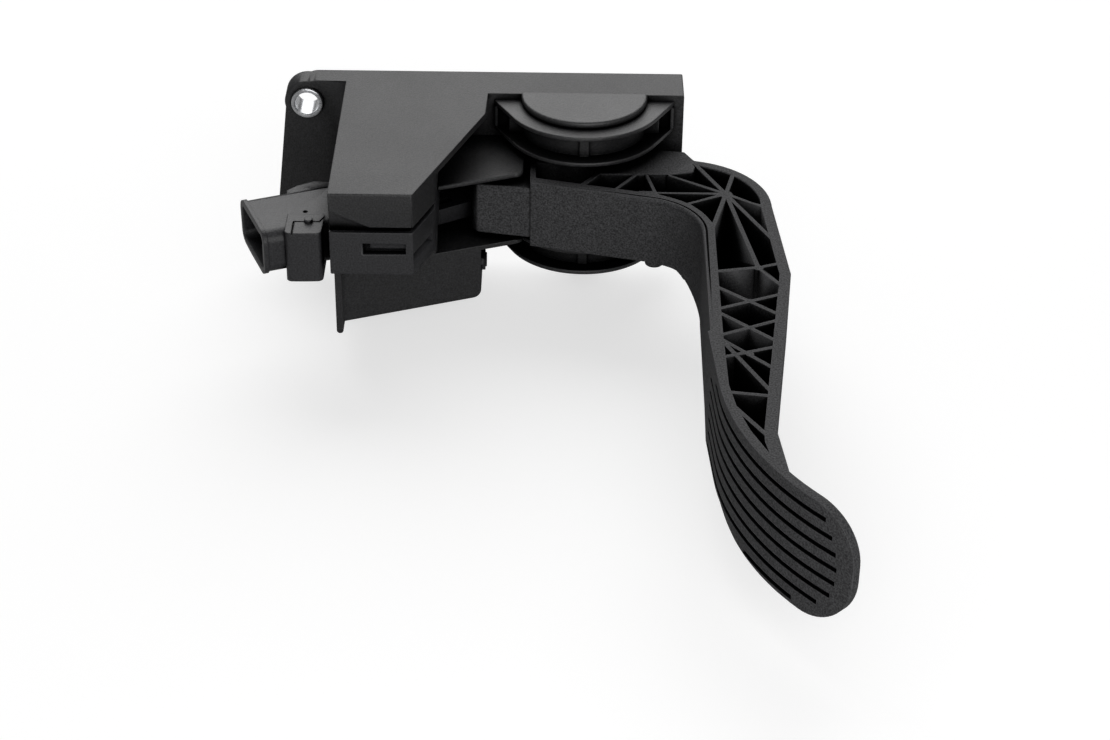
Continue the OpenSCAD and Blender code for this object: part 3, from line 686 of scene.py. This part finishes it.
JET = (0.020, 0.020, 0.021)
black_housing = moulded_plastic("glass_filled_black_housing", JET, rough=0.47, pit=0.8)
black_drum = moulded_plastic("glass_filled_black_drum", JET, rough=0.45, gloss=1.64, pit=0.8)
black_arm = moulded_plastic("glass_filled_black_arm", (0.056, 0.056, 0.058), rough=0.60,
                            flow=(1, 0.12, 0.5), gloss=1.2, pit=0.84)
black_sensor = moulded_plastic("satin_black_sensor", (0.020, 0.020, 0.022), rough=0.42,
                               grain=0.4)
print("black plastics:", black_housing.name, black_drum.name, black_arm.name, black_sensor.name)

# %% [markdown]
# ## Turned metal
#
# The bolt bushings are turned and zinc plated. Turning leaves fine rings about each axis, which
# is what makes a small ring of metal glint. An image of rings would need to be placed on each
# bushing. The distance to the nearest of the three axes gives the rings of all three at once.

# %% Zinc plated bushings
BUSHING_AXES = ((0.0225, 0.101), (-0.026, 0.101), (-0.0385, 0.0))
RING_PITCH = 0.00028
FINE_DEPTH = 0.00005


def axis_distance(tree, place):
    """Distance to the nearest of the axes, which run through the object along Y."""
    across, height = (build(tree, "ShaderNodeSeparateXYZ", {}, place, out=side) for side in "XZ")
    nearest = None
    for x, z in BUSHING_AXES:
        away = ((across - x).math("POWER", 2.0) + (height - z).math("POWER", 2.0)).math("SQRT")
        nearest = away if nearest is None else nearest.math("MINIMUM", away)
    return nearest


def turned_metal(name, tone, rough):
    made, tree, shader, place = start_material(name)
    rings = (axis_distance(tree, place) * (2 * math.pi / RING_PITCH)).math("SINE")
    smear = noise(tree, place, 300, detail=3)
    relief = bump(tree, rings, 0.25, FINE_DEPTH, softened(tree, radius=0.0003))
    colour = mix_colour(tree, smear, shaded(tone, 0.86), shaded(tone, 1))
    feed(tree, shader, Base_Color=colour, Roughness=rough + 0.16 * smear, Normal=relief,
         Metallic=1.0)
    return made


zinc = turned_metal("zinc_plated_turned", (0.80, 0.81, 0.83), rough=0.2)
print("turned metal:", zinc.name, "rings in each mm:", round(0.001 / RING_PITCH, 1))

# %% [markdown]
# ## Drawn metal
#
# Pins, spring wire and contacts are drawn through a die, which leaves fine lines along them. Noise
# that is stretched along the pivot axis gives such lines. They are inside and hardly seen, so one
# direction is enough for all of them.

# %% Pins, springs and contacts
def drawn_metal(name, tone, rough):
    made, tree, shader, place = start_material(name)
    lines = noise(tree, place, 2400, stretch=(0.05, 1, 1))
    smear = noise(tree, place, 160, detail=3)
    colour = mix_colour(tree, lines, shaded(tone, 0.8), shaded(tone, 1))
    feed(tree, shader, Base_Color=colour, Roughness=rough + 0.15 * smear, Metallic=1.0,
         Normal=bump(tree, lines, 0.2, FINE_DEPTH))
    return made


ground_steel = drawn_metal("ground_steel", (0.62, 0.62, 0.63), rough=0.2)
spring_steel = drawn_metal("drawn_spring_wire", (0.40, 0.41, 0.43), rough=0.3)
contact_metal = drawn_metal("tinned_contact", (0.78, 0.66, 0.38), rough=0.22)
print("drawn metals:", ground_steel.name, spring_steel.name, contact_metal.name)

# %% [markdown]
# ## Acetal and rubber
#
# Bushes and the rotor are natural acetal, a milky plastic that lets a little light in, so it gets
# some subsurface scattering. Stops and seals are rubber with a dusty bloom, which is a cloudy
# change of tone and of roughness.

# %% Milky plastic and soft rubber
def milky_plastic(name, tone):
    made, tree, shader, place = start_material(name)
    cloud = noise(tree, place, 60, detail=3)
    fine = noise(tree, place, 2200)
    feed(tree, shader, Base_Color=mix_colour(tree, cloud, shaded(tone, 0.93), shaded(tone, 1)),
         Roughness=0.32 + 0.1 * cloud, Normal=bump(tree, fine, 0.15, 0.00008),
         Subsurface_Weight=0.15, Subsurface_Radius=(0.002, 0.0018, 0.0015))
    return made


def soft_rubber(name, tone):
    made, tree, shader, place = start_material(name)
    bloom = noise(tree, place, 120, detail=4)
    fine = noise(tree, place, 3000)
    feed(tree, shader, Base_Color=mix_colour(tree, bloom, shaded(tone, 0.7), shaded(tone, 1.3)),
         Roughness=0.62 + 0.15 * bloom, Normal=bump(tree, fine, 0.3, 0.0001))
    return made


acetal = milky_plastic("natural_acetal", (0.74, 0.71, 0.63))
black_rubber = soft_rubber("black_rubber", (0.03, 0.03, 0.03))
red_silicone = soft_rubber("red_silicone", (0.42, 0.10, 0.035))
ferrite = soft_rubber("sintered_ferrite", (0.11, 0.11, 0.12))
print("inner materials:", acetal.name, black_rubber.name, red_silicone.name, ferrite.name)

# %% [markdown]
# ## The circuit board
#
# Copper tracks show as a lighter green under the lacquer, and stand out a little. A brick pattern
# with long narrow bricks is close to rows of tracks. The chips are black epoxy, like the plastic
# but with a finer edge.

# %% Lacquered board and chips
def lacquered_board(name):
    made, tree, shader, place = start_material(name)
    tracks = build(tree, "ShaderNodeTexBrick", {"offset": 0.5, "squash": 0.6}, place, Scale=260.0,
                   Mortar_Size=0.012, Brick_Width=1.6, Row_Height=0.45, out="Fac")
    glaze = noise(tree, place, 90)
    lacquer = mix_colour(tree, glaze, (0.010, 0.085, 0.035, 1), (0.016, 0.115, 0.05, 1))
    feed(tree, shader, Base_Color=mix_colour(tree, tracks, lacquer, (0.035, 0.19, 0.07, 1)),
         Roughness=0.2 + 0.1 * glaze, Normal=bump(tree, tracks, 0.3, 0.00006))
    return made


board = lacquered_board("green_board")
chip_black = moulded_plastic("chip_epoxy", (0.016, 0.016, 0.017), rough=0.55, grain=0.3,
                             edge=0.0002)
print("board materials:", board.name, chip_black.name)

# %% [markdown]
# ## Dress the solids
#
# Each solid gets one finish, by what the real piece is made of, and its working copy the same one.
# The list goes by finish, because that shows at a glance what is made of what, and the last line
# says whether a solid was forgotten.

# %% Give every solid its finish
FINISHES = {
    black_housing: ["housing"],
    black_drum: ["upper_drum_case", "lower_drum_case", "upper_drum_cap", "lower_drum_cap"],
    black_arm: ["pedal_arm"],
    black_sensor: ["sensor_case", "case_lid", "connector_collar", "drive_lever"],
    zinc: ["mounting_bushings"],
    ground_steel: ["pivot_pin", "drive_pin"],
    spring_steel: ["upper_return_spring", "lower_return_spring"],
    acetal: ["upper_friction_washer", "lower_friction_washer", "upper_pivot_bush",
             "lower_pivot_bush", "sensor_rotor"],
    black_rubber: ["idle_stop_pad", "full_stop_pad"],
    red_silicone: ["lid_gasket", "shaft_seal"],
    board: ["circuit_board"],
    chip_black: ["hall_chips"],
    contact_metal: ["contact_pins"],
    ferrite: ["rotor_magnet"],
}
for finish, names in FINISHES.items():
    for name in names:
        for solid in filter(None, (nodes[name], mouldings.get(name))):
            solid.data.materials.clear()
            solid.data.materials.append(finish)
dressed = {name for names in FINISHES.values() for name in names}
print("solids without a finish:", sorted(set(nodes) - dressed))

# %% [markdown]
# ## The table
#
# The pedal lies on a white table, with the pivot axis upright. More light would turn the table
# white and the plastic grey. So the camera alone sees the table glow, with just enough paint left
# in it to show the shadow. Away from the object the glow is full, so that its far edge melts into
# the white surroundings. The table is seen from its upper side only, and is clear from below.

# %% The table and its paint
TABLE_X = cad_low.x - 0.0005
TABLE_SIZE = 3
PAINT = (0.5, 0.5, 0.5, 1)
BLACK, WHITE = (0, 0, 0, 1), (1, 1, 1, 1)
GLOW_BY_OBJECT = 0.63
SHADOW_REACH = 0.45
GLOW_GAIN = 1.4

bpy.ops.object.select_all(action="DESELECT")
bpy.ops.mesh.primitive_plane_add(size=TABLE_SIZE, location=(TABLE_X, 0, 0),
                                 rotation=(0, math.pi / 2, 0))
table = bpy.context.object
table.name = "table"

table_paint, tree, shader, place = start_material("white_table")
sight = build(tree, "ShaderNodeLightPath", {}, out="Is Camera Ray")
away = build(tree, "ShaderNodeVectorMath", {"operation": "LENGTH"}, place, out="Value")
outside = clamp(tree, (away - SHADOW_REACH) * GLOW_GAIN)
glow = sight * (GLOW_BY_OBJECT + (1 - GLOW_BY_OBJECT) * outside)
feed(tree, shader, Base_Color=PAINT, Roughness=0.9, Specular_IOR_Level=0.1, Emission_Strength=1.0,
     Emission_Color=mix_colour(tree, glow, BLACK, WHITE))
painted = Signal(tree, shader.outputs[0])
clear = build(tree, "ShaderNodeBsdfTransparent", {})
below = build(tree, "ShaderNodeNewGeometry", {}, out="Backfacing")
show(tree, build(tree, "ShaderNodeMixShader", {}, below, painted, clear))
table.data.materials.append(table_paint)
print("table", TABLE_SIZE, "m wide, at x in mm:", round(MM * TABLE_X, 1))

# %% [markdown]
# ## The surroundings
#
# The world is white to the camera and dim to all else. A bright world would light the black
# plastic from every side and leave no dark sides to it.

# %% White surroundings
DIM = 0.16

world = bpy.data.worlds.new("studio")
bpy.context.scene.world = world
world.use_nodes = True
tree = world.node_tree
surround = tree.nodes["Background"]
surround.inputs["Color"].default_value = WHITE
seen = build(tree, "ShaderNodeLightPath", {}, out="Is Camera Ray")
through = build(tree, "ShaderNodeLightPath", {}, out="Is Transmission Ray")
strength = DIM + (1 - DIM) * seen.math("MAXIMUM", through)
plug(tree, surround.inputs["Strength"], strength)
print("world strength on the object:", DIM)

# %% [markdown]
# ## The light
#
# One large soft light hangs above and behind, and a small weak one stands in front. Faces that
# look up mirror the large one and turn grey, and faces turned to the camera stay nearly black.

# %% Soft lights
def soft_light(name, direction, distance, size, power):
    """A round lamp that shines at the middle of the object from a direction."""
    data = bpy.data.lights.new(name, "AREA")
    data.shape = "DISK"
    data.size, data.energy = size, power
    lamp = bpy.data.objects.new(name, data)
    bpy.context.scene.collection.objects.link(lamp)
    towards = Vector(direction).normalized()
    place = (cad_low + cad_high) / 2 + towards * distance
    facing = towards.to_track_quat("Z", "Y").to_matrix().to_4x4()
    lamp.matrix_world = Matrix.Translation(place) @ facing


soft_light("overhead", (0.70, 0.71, 0.04), distance=1.6, size=2.1, power=21.5)
soft_light("front_fill", (0.35, -0.90, -0.20), distance=0.8, size=0.8, power=3.6)

# %% [markdown]
# ## Colours as they are
#
# The Standard view shows a colour as it is written. Nothing that this script adds may stand out
# of the solids' box.

# %% Colour management
bpy.context.scene.view_settings.view_transform = "Standard"
